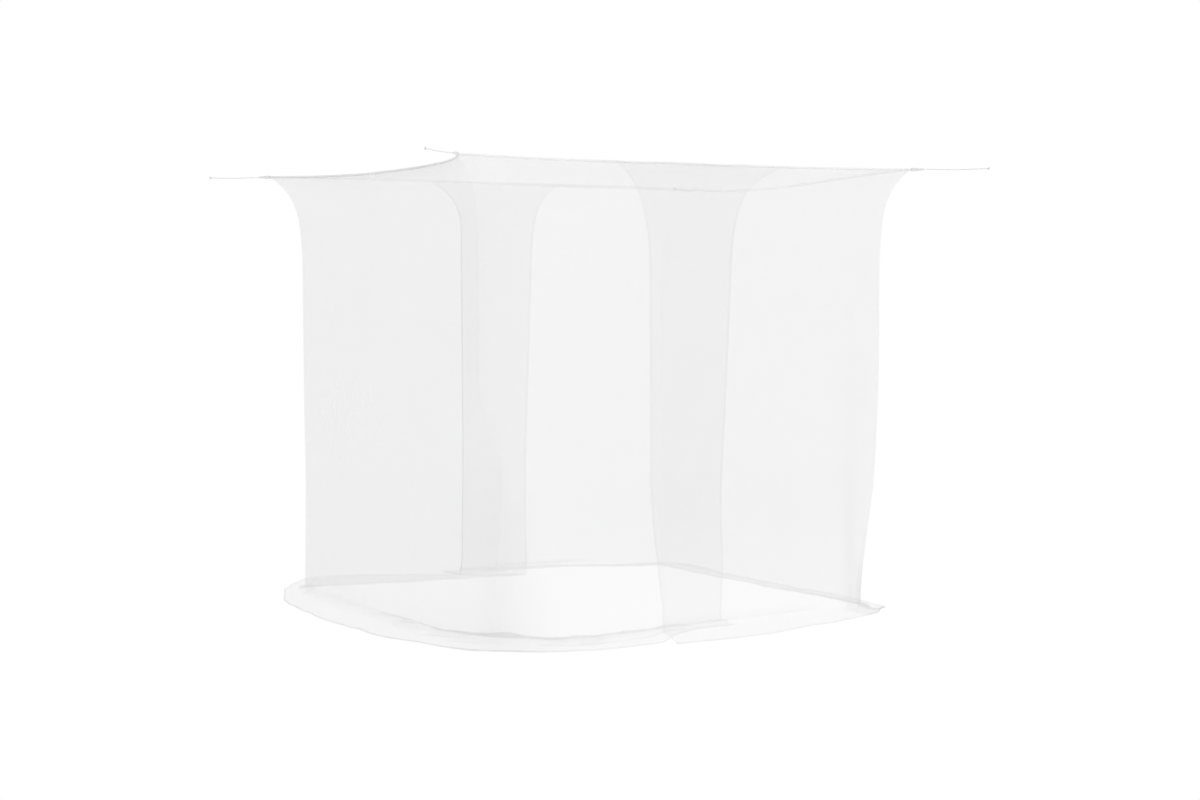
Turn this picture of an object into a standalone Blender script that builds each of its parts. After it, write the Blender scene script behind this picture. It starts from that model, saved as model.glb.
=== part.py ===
"""Box mosquito net canopy, hung by cords at the four corners of its roof.

Metres, +Z up, floor at z = 0. The roof, the binding round it and two U-shaped wall panels are
netting; the panels overlap in the middle of the front and of the back, which makes the two
entrances. The net hangs in folds and lies on the floor as a skirt. Its shapes are worked out
about the roof's centre, and an empty carries the finished net so that its box stands on the origin.
"""

import math

import bmesh
import bpy
from mathutils import Vector

# --- Driving sizes -------------------------------------------------------------------------
CLOTH = 0.0015            # thickness of every netting solid
HEIGHT = 1.84             # corner tips above the floor
WALL_X, WALL_Y = 0.92, 0.85   # half width and half depth of the hanging walls
TIP_X, TIP_Y = 0.13, 0.10     # how far each corner tip is pulled out past the walls
TIP_REACH = 5.0           # higher: the pull on an edge dies away nearer its tip
TIP_DECAY = 0.092         # height over which the pull dies away down the wall
TURN_SHARPNESS = 14.0     # higher: the skirt fans round a corner in a shorter stretch
CORNER_WIDTH = 0.06       # how far from a corner its rounding and bulge reach, as a share of a side

BINDING_HEIGHT = 0.010
BINDING_THICKNESS = 0.003
PIECE_GAP = 0.0003
HEADING_GAP = 0.002       # from the binding down to the wall panels' top edges
ROOF_INSET = 0.0020       # from the middle of the binding in to the roof's edge
TIP_INSET = 0.0036        # and this much more in the sharp tips

FLAP_GAP_TOP = 0.0036     # between the overlapping flaps' middles, under the binding
FLAP_GAP = 0.042          # and lower down
FLAP_LIFT = 0.009         # the outer flap's skirt lies this much higher than the inner one's

TURN_HEIGHT = 0.040       # where a wall starts to turn out on to the floor
LEAN_HEIGHT = 0.62        # where it starts to lean out towards its foot

SAG = {"front": 0.003, "back": 0.002, "left": 0.018, "right": 0.046, "middle": 0.012}

TAB_LENGTH, TAB_WIDTH, TAB_THICKNESS = 0.048, 0.014, 0.004
TAB_START = 0.010         # the tab's inner end, outside the corner tip of the binding
CORD_DIAMETER = 0.004
CORD_POINT_SPACING = 0.011
KNOT_LENGTH, KNOT_WIDTH = 0.013, 0.010

# Soft upright folds in the walls, as waves along a side
FOLDS = (
    # waves  phase  depth
    (3.0, 0.4, 0.0060),
    (5.0, 2.1, 0.0050),
    (8.0, 4.0, 0.0022),
)
SIDE_PHASES = (0.0, 2.9, 1.3, 4.4)   # front, right, back, left

# Each free edge of a panel: where it hangs along its wall, from -1 to 1, how far its top fixing
# is pulled sideways, the height over which that pull dies away, its lean over the whole drop,
# its swing where the foot leans out, and how far it trails sideways across the floor
FREE_EDGES = {
    "inner_front": {"hangs": 0.250, "pull": 0.262, "decay": 0.085,
                    "lean": -0.105, "swing": 0.0, "trail": 0.01},
    "outer_front": {"hangs": -0.205, "pull": -0.145, "decay": 0.085,
                    "lean": 0.010, "swing": -0.060, "trail": -0.11},
    "outer_back": {"hangs": -0.143, "pull": -0.196, "decay": 0.075,
                   "lean": 0.010, "swing": 0.0, "trail": -0.02},
    "inner_back": {"hangs": 0.236, "pull": 0.155, "decay": 0.080,
                   "lean": -0.065, "swing": 0.0, "trail": 0.0},
}

# Where each panel meets the floor. place: along the net's outline, 0 front-left corner,
# 1 front-right, 2 back-right, 3 or -1 back-left. foot and hem: how far outside the wall's line
# the wall reaches the floor and the skirt ends. bunch: height of the fold lying along the foot
LEFT_SKIRT = (
    # place   foot   hem    bunch
    (-1.585, -0.045, 0.050, 0.012),
    (-1.450, -0.040, 0.130, 0.014),
    (-1.350, -0.045, 0.240, 0.016),
    (-1.230, -0.060, 0.355, 0.020),
    (-1.110, -0.060, 0.385, 0.026),
    (-1.045, -0.030, 0.230, 0.032),
    (-1.000, 0.010, 0.105, 0.034),
    (-0.950, 0.010, 0.130, 0.032),
    (-0.890, 0.005, 0.180, 0.028),
    (-0.750, 0.015, 0.262, 0.018),
    (-0.575, 0.040, 0.295, 0.014),
    (-0.440, 0.040, 0.300, 0.018),
    (-0.265, 0.045, 0.288, 0.026),
    (-0.120, 0.060, 0.282, 0.030),
    (0.000, 0.100, 0.335, 0.030),
    (0.065, 0.180, 0.405, 0.030),
    (0.120, 0.235, 0.435, 0.028),
    (0.163, 0.235, 0.445, 0.024),
    (0.228, 0.210, 0.430, 0.022),
    (0.320, 0.160, 0.395, 0.018),
    (0.390, 0.135, 0.270, 0.014),
    (0.470, 0.115, 0.190, 0.016),
    (0.580, 0.070, 0.130, 0.028),
)
RIGHT_SKIRT = (
    # place   foot   hem    bunch
    (0.400, 0.190, 0.455, 0.004),
    (0.470, 0.185, 0.425, 0.005),
    (0.600, 0.155, 0.375, 0.005),
    (0.710, 0.120, 0.320, 0.006),
    (0.850, 0.070, 0.255, 0.008),
    (0.935, 0.020, 0.160, 0.016),
    (1.000, -0.035, 0.070, 0.034),
    (1.070, -0.050, 0.075, 0.034),
    (1.150, -0.055, 0.085, 0.030),
    (1.270, -0.055, 0.090, 0.026),
    (1.440, -0.045, 0.085, 0.022),
    (1.650, -0.035, 0.090, 0.018),
    (1.850, -0.045, 0.110, 0.018),
    (2.000, -0.030, 0.120, 0.022),
    (2.090, 0.015, 0.110, 0.016),
    (2.200, 0.035, 0.110, 0.012),
    (2.300, 0.055, 0.140, 0.010),
    (2.400, 0.055, 0.170, 0.008),
    (2.500, 0.035, 0.190, 0.006),
    (2.590, 0.015, 0.180, 0.005),
)

# How a panel comes down: shares of the height from the top edge to the turn
WALL_ROWS = (0, 0.012, 0.03, 0.055, 0.09, 0.14, 0.21, 0.32, 0.45, 0.58, 0.70, 0.81, 0.91, 1.0)
# Then across the floor: share of the way from foot to hem, share of the turn's height that is
# left, and share of the bunch's height
FLOOR_ROWS = (
    # out   turn  bunch
    (0.05, 0.25, 0.30),
    (0.14, 0.00, 0.85),
    (0.26, 0.00, 1.00),
    (0.40, 0.00, 0.15),
    (0.70, 0.00, 0.10),
    (1.00, 0.00, 0.00),
)
# Stations along each edge of the roof, from -1 to 1: the roof and its binding share them
EDGE_RUNS = (-1, -0.97, -0.93, -0.87, -0.78, -0.66, -0.5, -0.27, 0,
             0.27, 0.5, 0.66, 0.78, 0.87, 0.93, 0.97, 1)
# Places of the panels' columns along a whole side, closer together towards the corners
SIDE_COLUMNS = (-1, -0.975, -0.93, -0.86, -0.75, -0.6, -0.4, -0.2, 0,
                0.2, 0.4, 0.6, 0.75, 0.86, 0.93, 0.975)
# Shares of the way from a corner to the free edge on that wall
FLAP_COLUMNS = (0, 0.025, 0.07, 0.14, 0.24, 0.36, 0.48, 0.60, 0.71, 0.81, 0.89, 0.95, 1.0)

# Going round from the front-left corner. cord: its length. bulge and draw_in: how far the walls'
# corner stands out below the tip, and is drawn in again at the floor. gather: how far its lower
# half is pushed to the right
CORNERS = {
    "front_left": {"x": -1, "y": -1, "cord": 0.250, "bulge": -0.008, "draw_in": 0.0,
                   "gather": 0.095},
    "front_right": {"x": 1, "y": -1, "cord": 0.250, "bulge": 0.034, "draw_in": 0.055,
                    "gather": 0.0},
    "back_right": {"x": 1, "y": 1, "cord": 0.250, "bulge": -0.008, "draw_in": 0.0,
                   "gather": 0.0},
    "back_left": {"x": -1, "y": 1, "cord": 0.215, "bulge": 0.016, "draw_in": 0.010,
                  "gather": 0.0},
}


# --- Materials and objects -----------------------------------------------------------------
def material(name, colour, roughness, alpha=1.0):
    made = bpy.data.materials.new(name)
    made.use_nodes = True
    shader = made.node_tree.nodes["Principled BSDF"]
    shader.inputs["Base Color"].default_value = (*colour, 1.0)
    shader.inputs["Roughness"].default_value = roughness
    shader.inputs["Metallic"].default_value = 0.0
    shader.inputs["Alpha"].default_value = alpha
    return made


def new_object(name, data, finish, collection, parent):
    made = bpy.data.objects.new(name, data)
    data.materials.append(finish)
    collection.objects.link(made)
    made.parent = parent
    return made


def mesh_from(bm, name):
    bmesh.ops.recalc_face_normals(bm, faces=bm.faces)
    data = bpy.data.meshes.new(name)
    bm.to_mesh(data)
    bm.free()
    return data


def thicken(obj, thickness):
    """Makes an open surface a closed sheet, half its thickness to each side."""
    shell = obj.modifiers.new("thickness", "SOLIDIFY")
    shell.thickness = thickness
    shell.offset = 0.0


# --- The net's form ------------------------------------------------------------------------
def smooth(value):
    value = min(max(value, 0.0), 1.0)
    return value * value * (3.0 - 2.0 * value)


def between(table, place):
    """The row of a table at this place, blended smoothly between its neighbours."""
    if place <= table[0][0]:
        return table[0][1:]
    for low, high in zip(table, table[1:]):
        if place <= high[0]:
            share = smooth((place - low[0]) / (high[0] - low[0]))
            return tuple(a + share * (b - a) for a, b in zip(low[1:], high[1:]))
    return table[-1][1:]


def on_outline(place):
    """(across, along) on the square from -1 to 1, going round from the front-left corner."""
    side, share = divmod(place % 4.0, 1.0)
    run = 2.0 * share - 1.0
    return ((run, -1.0), (1.0, run), (-run, 1.0), (-1.0, -run))[int(side)]


def plan(across, along, pull):
    """Where a point of the square lies in plan when its corners are pulled out by this share."""
    reach_x = abs(across) ** (TIP_REACH - 1) * abs(along) ** TIP_REACH
    reach_y = abs(along) ** (TIP_REACH - 1) * abs(across) ** TIP_REACH
    return Vector((
        across * (WALL_X + TIP_X * pull * reach_x),
        along * (WALL_Y + TIP_Y * pull * reach_y),
        0.0,
    ))


def outward(across, along):
    """The way out of the net in plan: square to a side, and turning round the corners."""
    x = math.copysign(abs(across) ** TURN_SHARPNESS, across)
    y = math.copysign(abs(along) ** TURN_SHARPNESS, along)
    return Vector((x, y, 0.0)).normalized()


def roof_height(across, along):
    """Height of the roof, lowest along the side edges and a little in the middle."""
    bow_x, bow_y = 1.0 - across * across, 1.0 - along * along
    drop = (
        (SAG["front"] * (1 - along) + SAG["back"] * (1 + along)) / 2 * bow_x
        + (SAG["left"] * (1 - across) + SAG["right"] * (1 + across)) / 2 * bow_y
        + SAG["middle"] * bow_x * bow_y
    )
    return HEIGHT - drop


def folds_at(place, share_down):
    """How far the wall's soft upright folds stand out. They start below the top edge."""
    side, share = divmod(place % 4.0, 1.0)
    run = 2.0 * share - 1.0
    turn = SIDE_PHASES[int(side)]
    wave = sum(depth * math.sin(waves * run + phase + turn) for waves, phase, depth in FOLDS)
    return wave * smooth(share_down / 0.8) * (1.0 - abs(run) ** 6)


def foot_lean(height):
    """Share of the lean towards the foot at this height."""
    return smooth(1.0 - height / LEAN_HEIGHT)


def free_edge(name, share_down):
    """How far a free edge is off the place where it hangs, along its wall."""
    edge = FREE_EDGES[name]
    pulled = edge["pull"] * math.exp(-share_down * HEIGHT / edge["decay"])
    swung = edge["swing"] * foot_lean(HEIGHT * (1.0 - share_down))
    return pulled + swung + edge["lean"] * share_down ** 1.5


def corner_shape(place, height, pull):
    """How far a wall's corner stands out below its tip, and its sideways drift in plan."""
    nearest = round(place)
    near = math.exp(-(((place - nearest) / CORNER_WIDTH) ** 2))
    corner = list(CORNERS.values())[nearest % 4]
    down = smooth((1.1 - height) / 1.1)
    bulge = (corner["bulge"] * (1 - pull) - corner["draw_in"] * down) * near
    wide = math.exp(-(((place - nearest) / (1.5 * CORNER_WIDTH)) ** 2))
    gather = corner["gather"] * smooth((0.98 - height) / 0.36) * wide
    return bulge, Vector((gather, 0.0, 0.0))


def flap_offset(place, share_down):
    """How far the outer panel hangs outside the inner one where the two overlap."""
    front = smooth((0.95 - place) / 0.22)
    back = smooth((place - 2.05) / 0.22)
    spread = FLAP_GAP_TOP + (FLAP_GAP - FLAP_GAP_TOP) * smooth(share_down / 0.22)
    return spread * max(front, back)


def drawn_place(column, edges, share_down, share_out):
    """A column's place along the outline, drawn sideways as its free edge is pulled and leans."""
    place, share = column
    name = edges[1] if share > 0 else edges[0]
    along_wall = free_edge(name, share_down) + FREE_EDGES[name]["trail"] * share_out
    direction = -1 if name.endswith("back") else 1
    return place + direction * abs(share) ** 3 * along_wall / 2


def panel_point(column, edges, skirt, outer, share_down, floor_row=None):
    """A point of a wall panel, on the wall or, with a row of FLOOR_ROWS, on the floor."""
    share_out, turn_left, bunched = floor_row or (0.0, 1.0, 0.0)
    place = drawn_place(column, edges, share_down, share_out)
    across, along = on_outline(place)
    top = roof_height(across, along) - BINDING_HEIGHT / 2 - HEADING_GAP
    height = top - share_down * (top - TURN_HEIGHT)
    pull = math.exp((height - top) / TIP_DECAY)
    foot, hem, bunch = between(skirt, column[0])
    out = outward(across, along)
    bulge, drift = corner_shape(place, height, pull)
    reach = folds_at(place, share_down) + foot * foot_lean(height) + bulge
    if outer:
        reach += flap_offset(place, share_down)
    if floor_row:
        reach += share_out * (hem - foot)
        lift = FLAP_LIFT * flap_offset(place, 1.0) / FLAP_GAP if outer else 0.0
        height = CLOTH + turn_left * TURN_HEIGHT + bunched * bunch + lift
    return plan(across, along, pull) + out * reach + drift + Vector((0, 0, height))


def sheet(name, columns, rows, point_at, finish, collection, parent):
    """A sheet from a grid primitive: point_at gives the place of each column and row."""
    bm = bmesh.new()
    bmesh.ops.create_grid(bm, x_segments=columns - 1, y_segments=rows - 1, size=0.5)
    for vert in bm.verts:
        column = round((vert.co.x + 0.5) * (columns - 1))
        row = round((vert.co.y + 0.5) * (rows - 1))
        vert.co = point_at(column, row)
    made = new_object(name, mesh_from(bm, name), finish, collection, parent)
    thicken(made, CLOTH)
    return made


def wall_panel(name, columns, edges, skirt, outer, *holders):
    rows = [(share, None) for share in WALL_ROWS] + [(1.0, row) for row in FLOOR_ROWS]

    def point_at(column, row):
        return panel_point(columns[column], edges, skirt, outer, *rows[row])

    return sheet(name, len(columns), len(rows), point_at, *holders)


def left_columns():
    """From the back flap's free edge, round the left wall, to the front flap's free edge."""
    back = -1 - (FREE_EDGES["inner_back"]["hangs"] + 1) / 2
    front = (FREE_EDGES["inner_front"]["hangs"] + 1) / 2
    columns = [(-1 + share * (back + 1), -share) for share in reversed(FLAP_COLUMNS[1:])]
    columns += [((run - 1) / 2, 0.0) for run in SIDE_COLUMNS]
    columns += [(share * front, share) for share in FLAP_COLUMNS]
    return columns


def right_columns():
    """From the front flap's free edge, round the right wall, to the back flap's free edge."""
    front = (FREE_EDGES["outer_front"]["hangs"] + 1) / 2
    back = 3 - (FREE_EDGES["outer_back"]["hangs"] + 1) / 2
    columns = [(1 + share * (front - 1), -share) for share in reversed(FLAP_COLUMNS[1:])]
    columns += [((run + 3) / 2, 0.0) for run in SIDE_COLUMNS]
    columns += [(2 + share * (back - 2), share) for share in FLAP_COLUMNS]
    return columns


def edge_stations():
    """Places along one edge of the roof, from -1 to 1, close together by the tips."""
    return [math.sin(math.pi / 2 * run) for run in EDGE_RUNS]


def roof_panel(*holders):
    """The roof, a little smaller than the ring of binding that holds it."""
    stations = edge_stations()

    def point_at(column, row):
        across, along = stations[column], stations[row]
        inset = ROOF_INSET + TIP_INSET * abs(across * along) ** TIP_REACH
        spot = plan(across, along, 1.0) - Vector((across, along, 0)) * inset
        return spot + Vector((0, 0, roof_height(across, along)))

    return sheet("roof_panel", len(stations), len(stations), point_at, *holders)


def edge_binding(finish, collection, parent):
    """The folded tape round the roof's edge: an upright ribbon, thickened."""
    stations = [side + (run + 1) / 2 for side in range(4) for run in edge_stations()[:-1]]
    bm = bmesh.new()
    bmesh.ops.create_cone(bm, segments=len(stations), radius1=1, radius2=1, depth=2)
    for vert in bm.verts:
        turn = math.atan2(vert.co.y, vert.co.x) / (2 * math.pi)
        across, along = on_outline(stations[round(turn * len(stations)) % len(stations)])
        height = roof_height(across, along) + math.copysign(BINDING_HEIGHT / 2, vert.co.z)
        vert.co = plan(across, along, 1.0) + Vector((0, 0, height))
    made = new_object("edge_binding", mesh_from(bm, "edge_binding"), finish, collection, parent)
    thicken(made, BINDING_THICKNESS)
    return made


# --- Corner tabs, cords and knots ----------------------------------------------------------
def pull_line(corner):
    """The corner tip and the way its cord pulls, along the roof's diagonal."""
    tip = plan(corner["x"], corner["y"], 1.0) + Vector((0, 0, HEIGHT))
    direction = Vector((corner["x"] * (WALL_X + TIP_X), corner["y"] * (WALL_Y + TIP_Y), 0))
    return tip, direction.normalized()


def corner_tab(name, corner, *holders):
    """A folded tape sewn to the tip, tapering towards the cord that it holds."""
    tip, direction = pull_line(corner)
    bm = bmesh.new()
    bmesh.ops.create_cube(bm, size=1.0)
    bmesh.ops.scale(bm, vec=(TAB_LENGTH, TAB_THICKNESS, TAB_WIDTH), verts=bm.verts)
    for vert in bm.verts:
        if vert.co.x > 0:
            vert.co.z *= 0.55
    made = new_object(name, mesh_from(bm, name), *holders)
    made.location = tip + direction * (TAB_START + TAB_LENGTH / 2)
    made.rotation_euler = (0, 0, math.atan2(direction.y, direction.x))
    soft_edges = made.modifiers.new("soft edges", "BEVEL")
    soft_edges.width = 0.0008
    soft_edges.segments = 1


def smooth_route(route, spacing):
    """Points about this far apart on a smooth curve through the route (Catmull-Rom)."""
    ends = [2 * route[0] - route[1], *route, 2 * route[-1] - route[-2]]
    points = []
    for before, a, b, after in zip(ends, ends[1:], ends[2:], ends[3:]):
        steps = max(2, round((b - a).length / spacing))
        for step in range(steps):
            t = step / steps
            points.append(0.5 * (
                2 * a + (b - before) * t
                + (2 * before - 5 * a + 4 * b - after) * t * t
                + (3 * a - before - 3 * b + after) * t ** 3
            ))
    return points + [route[-1]]


def cord_route(corner):
    """From the tab to the knot: nearly taut, sagging a few millimetres on the way."""
    tip, direction = pull_line(corner)
    start = tip + direction * (TAB_START + TAB_LENGTH + PIECE_GAP)
    return [start + direction * (share * corner["cord"]) - Vector((0, 0, sag))
            for share, sag in ((0, 0), (0.12, 0.0006), (0.35, 0.0022), (0.65, 0.0024),
                               (0.88, 0.0008), (1, 0))]


def hanging_cord(name, corner, finish, collection, parent):
    data = bpy.data.curves.new(name, "CURVE")
    data.dimensions = "3D"
    data.bevel_depth = CORD_DIAMETER / 2
    data.bevel_resolution = 2
    data.use_fill_caps = True
    points = smooth_route(cord_route(corner), CORD_POINT_SPACING)
    spline = data.splines.new("POLY")
    spline.points.add(len(points) - 1)
    for target, point in zip(spline.points, points):
        target.co = (*point, 1.0)
    new_object(name, data, finish, collection, parent)


def end_knot(name, corner, *holders):
    """The cord's overhand end knot, as a small egg past the cord's end."""
    direction = pull_line(corner)[1]
    bm = bmesh.new()
    bmesh.ops.create_uvsphere(bm, u_segments=10, v_segments=6, radius=0.5)
    bmesh.ops.scale(bm, vec=(KNOT_LENGTH, KNOT_WIDTH, KNOT_WIDTH), verts=bm.verts)
    made = new_object(name, mesh_from(bm, name), *holders)
    made.location = cord_route(corner)[-1] + direction * (KNOT_LENGTH / 2 + PIECE_GAP)
    made.rotation_euler = (0, 0, math.atan2(direction.y, direction.x))


# --- The whole net -------------------------------------------------------------------------
def stand_on_origin(holder, collection):
    """Moves the net so that the box round what it holds so far stands centred on the origin."""
    bpy.context.view_layer.update()
    graph = bpy.context.evaluated_depsgraph_get()
    corners = []
    for made in collection.objects:
        if made == holder:
            continue
        evaluated = made.evaluated_get(graph)
        data = evaluated.to_mesh()
        corners += [evaluated.matrix_world @ vert.co for vert in data.vertices]
        evaluated.to_mesh_clear()
    low = [min(corner[axis] for corner in corners) for axis in range(3)]
    high = [max(corner[axis] for corner in corners) for axis in range(3)]
    holder.location = (-(low[0] + high[0]) / 2, -(low[1] + high[1]) / 2, -low[2])
    print("net moved by", tuple(round(value, 4) for value in holder.location))


def build():
    for obj in list(bpy.data.objects):
        bpy.data.objects.remove(obj, do_unlink=True)
    collection = bpy.data.collections.new("mosquito_net_canopy")
    bpy.context.scene.collection.children.link(collection)
    holder = bpy.data.objects.new("net_centre", None)
    collection.objects.link(holder)

    roof_net = material("roof_net", (0.92, 0.92, 0.92), 0.75, 0.35)
    left_net = material("left_net", (0.92, 0.92, 0.92), 0.75, 0.35)
    right_net = material("right_net", (0.92, 0.92, 0.92), 0.75, 0.35)
    tape = material("binding_tape", (0.86, 0.86, 0.85), 0.70)
    tab_tape = material("tab_tape", (0.86, 0.86, 0.85), 0.70)
    cord = material("cord", (0.80, 0.80, 0.79), 0.65)

    roof_panel(roof_net, collection, holder)
    wall_panel("wall_panel_left", left_columns(), ("inner_back", "inner_front"),
               LEFT_SKIRT, False, left_net, collection, holder)
    wall_panel("wall_panel_right", right_columns(), ("outer_front", "outer_back"),
               RIGHT_SKIRT, True, right_net, collection, holder)
    edge_binding(tape, collection, holder)
    for name, corner in CORNERS.items():
        corner_tab(f"corner_tab_{name}", corner, tab_tape, collection, holder)
    stand_on_origin(holder, collection)
    for name, corner in CORNERS.items():
        hanging_cord(f"hanging_cord_{name}", corner, cord, collection, holder)
        end_knot(f"cord_knot_{name}", corner, cord, collection, holder)


build()
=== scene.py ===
# %% [markdown]
# # A box mosquito net, hung by its four corners
# The net is five kinds of thing: sheer netting (a roof and two U-shaped side panels), the tape that
# binds the roof's edge, a folded tab at each corner, a twisted cord at each tab, and a knot at each
# cord's end. Almost everything you see is a single layer of cloth that lets most of the light
# through, so the look comes from where layers overlap, fold and bunch up, and the lesson is mostly
# about giving thin sheets a believable shape.

# %% Load the fixed frame
import math

import bmesh
import bpy
import numpy as np
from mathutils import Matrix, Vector


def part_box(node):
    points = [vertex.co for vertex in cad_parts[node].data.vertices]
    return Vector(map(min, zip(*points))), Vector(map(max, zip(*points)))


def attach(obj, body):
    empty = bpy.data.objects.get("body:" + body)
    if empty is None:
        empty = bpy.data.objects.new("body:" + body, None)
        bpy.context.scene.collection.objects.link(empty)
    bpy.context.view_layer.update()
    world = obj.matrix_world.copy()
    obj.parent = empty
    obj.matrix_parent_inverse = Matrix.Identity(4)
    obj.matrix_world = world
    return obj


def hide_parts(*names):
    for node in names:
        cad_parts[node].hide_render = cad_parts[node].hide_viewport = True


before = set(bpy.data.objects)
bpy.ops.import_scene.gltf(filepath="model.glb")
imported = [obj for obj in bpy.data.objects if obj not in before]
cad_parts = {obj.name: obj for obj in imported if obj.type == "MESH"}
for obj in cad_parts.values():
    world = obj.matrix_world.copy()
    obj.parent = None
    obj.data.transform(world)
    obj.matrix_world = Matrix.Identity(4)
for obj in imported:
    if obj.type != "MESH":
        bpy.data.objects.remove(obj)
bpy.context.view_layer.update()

# %% [markdown]
# ## Sizes
# A few sizes drive everything: how far the corner tips stand apart, how high they hang, and how
# much narrower the walls hang below them. The middle of the binding's box in the frame is the
# middle of the net, and its top tells how high the net stands.

# %% Driving sizes, in metres
HEIGHT = 1.84                    # corner tips above the floor
WALL_X, WALL_Y = 0.92, 0.85      # half width and half depth of the hanging walls
TIP_X, TIP_Y = 0.13, 0.10        # how far each tip is pulled out past the walls
TIP_REACH = 5.0                  # higher: the pull on an edge dies away nearer its tip
TIP_DECAY = 0.092                # height over which the pull dies away down the wall
TURN_SHARPNESS = 14.0            # higher: the skirt fans round a corner in a shorter stretch
CORNER_WIDTH = 0.06              # reach of a corner's bulge, as a share of a side
BINDING_HEIGHT = 0.010
TURN_HEIGHT = 0.040              # where a wall starts to turn out on to the floor
LEAN_HEIGHT = 0.62               # where it starts to lean out towards its foot
FLAP_GAP_TOP, FLAP_GAP = 0.0036, 0.042
FLAP_LIFT = 0.009
SAG = {"front": 0.003, "back": 0.002, "left": 0.018, "right": 0.046, "middle": 0.012}
CORD_DIAMETER = 0.004
TAB_LENGTH, TAB_WIDTH, TAB_START = 0.048, 0.014, 0.010
TAB_LAP = 0.004                  # how far a tab's ends lie back over the binding
KNOT_LENGTH, KNOT_LOOP = 0.013, 0.0016
KNOT_START, KNOT_STEP = -1.15, 0.23   # where the knot's loops begin and their step, in radians
PIECE_GAP = 0.0003

binding_low, binding_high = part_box("edge_binding")
CENTRE = (binding_low + binding_high) / 2
CENTRE.z = binding_high.z - HEIGHT - BINDING_HEIGHT / 2
print("middle of the net", [round(v, 4) for v in CENTRE])

CORNERS = {
    "front_left": {"x": -1, "y": -1, "cord": 0.250, "bulge": -0.008, "draw_in": 0.0,
                   "gather": 0.095},
    "front_right": {"x": 1, "y": -1, "cord": 0.250, "bulge": 0.034, "draw_in": 0.042,
                    "gather": 0.0},
    "back_right": {"x": 1, "y": 1, "cord": 0.250, "bulge": -0.008, "draw_in": 0.0,
                   "gather": 0.0},
    "back_left": {"x": -1, "y": 1, "cord": 0.215, "bulge": 0.016, "draw_in": 0.010,
                  "gather": 0.0},
}

# %% [markdown]
# ## Camera
# A net of this size is looked at from about ten metres with a moderately long lens, a little lower
# than its roof, so that the roof is seen edge on and the skirt as a thin ellipse. The camera is
# placed from the middle of the net.

# %% Camera
CAMERA_FROM_CENTRE = Vector((-4.736, -8.482, 1.311))
CAMERA_TURN, CAMERA_DIP = math.radians(29.67), math.radians(2.63)

camera_data = bpy.data.cameras.new("camera")
camera_data.lens, camera_data.sensor_width = 67.5, 36.0
camera = bpy.data.objects.new("camera", camera_data)
camera.location = CENTRE + CAMERA_FROM_CENTRE
camera.rotation_euler = (math.pi / 2 - CAMERA_DIP, 0, -CAMERA_TURN)
bpy.context.scene.collection.objects.link(camera)
bpy.context.scene.camera = camera
print("camera at", [round(v, 2) for v in camera.location])

# %% [markdown]
# ## Node sums
# Materials and Geometry Nodes are both graphs of small nodes. Written out by hand they hide the sum
# that they do, so one small class wraps a socket and lets Python's own signs add the Math nodes.
# Every other node comes from `Graph.add`, which takes its type, its settings and its inputs.


# %% Graph and Socket
class Socket:
    """An output of a node, which can be used in sums."""

    def __init__(self, graph, socket):
        self.graph, self.socket = graph, socket

    def out(self, name):
        return Socket(self.graph, self.socket.node.outputs[name])

    def math(self, operation, *others):
        inputs = dict(enumerate([self, *others]))
        return self.graph.add("ShaderNodeMath", {"operation": operation}, inputs)

    def __add__(self, other):
        return self.math("ADD", other)

    def __sub__(self, other):
        return self.math("SUBTRACT", other)

    def __mul__(self, other):
        return self.math("MULTIPLY", other)

    def __truediv__(self, other):
        return self.math("DIVIDE", other)

    def __rsub__(self, other):
        return self.graph.add("ShaderNodeMath", {"operation": "SUBTRACT"}, {0: other, 1: self})

    def __pow__(self, other):
        return self.math("POWER", other)

    def __rpow__(self, other):
        return self.graph.add("ShaderNodeMath", {"operation": "POWER"}, {0: other, 1: self})

    __radd__, __rmul__ = __add__, __mul__

    def clamp(self):
        return self.graph.add("ShaderNodeClamp", {}, {"Value": self})


class Graph:
    """A node tree, of a material or of Geometry Nodes, built by sums and by add."""

    def __init__(self, tree):
        self.tree = tree

    def add(self, kind, settings=None, inputs=None):
        node = self.tree.nodes.new(kind)
        for name, value in (settings or {}).items():
            setattr(node, name, value)
        for key, value in (inputs or {}).items():
            for each in value if isinstance(value, list) else [value]:
                if isinstance(each, Socket):
                    self.tree.links.new(each.socket, node.inputs[key])
                else:
                    node.inputs[key].default_value = each
        shown = [output for output in node.outputs if output.enabled]
        return Socket(self, shown[0]) if shown else None


print("graph helpers ready")

# %% [markdown]
# ## Cords
# Each corner hangs on a twisted cord that runs level to a hook out of sight, so it is a nearly
# straight line that sags by a few millimetres and ends in a knot. A twisted cord is three strands
# that wind round one another. Geometry Nodes make it: a strand is the cord's own line, moved aside
# along its normal by an angle that grows with the length, and given a round section.


# %% The cord's line
def tip_and_pull(corner):
    """The corner tip, and the way its cord pulls, along the roof's diagonal."""
    half = Vector((corner["x"] * (WALL_X + TIP_X), corner["y"] * (WALL_Y + TIP_Y), 0))
    return CENTRE + half + Vector((0, 0, HEIGHT)), half.normalized()


def smooth_route(route, spacing):
    """Points about this far apart on a smooth curve through the route (Catmull-Rom)."""
    ends = [2 * route[0] - route[1], *route, 2 * route[-1] - route[-2]]
    points = []
    for before, a, b, after in zip(ends, ends[1:], ends[2:], ends[3:]):
        steps = max(2, round((b - a).length / spacing))
        for step in range(steps):
            t = step / steps
            points.append(0.5 * (
                2 * a + (b - before) * t
                + (2 * before - 5 * a + 4 * b - after) * t * t
                + (3 * a - before - 3 * b + after) * t ** 3
            ))
    return points + [route[-1]]


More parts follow.
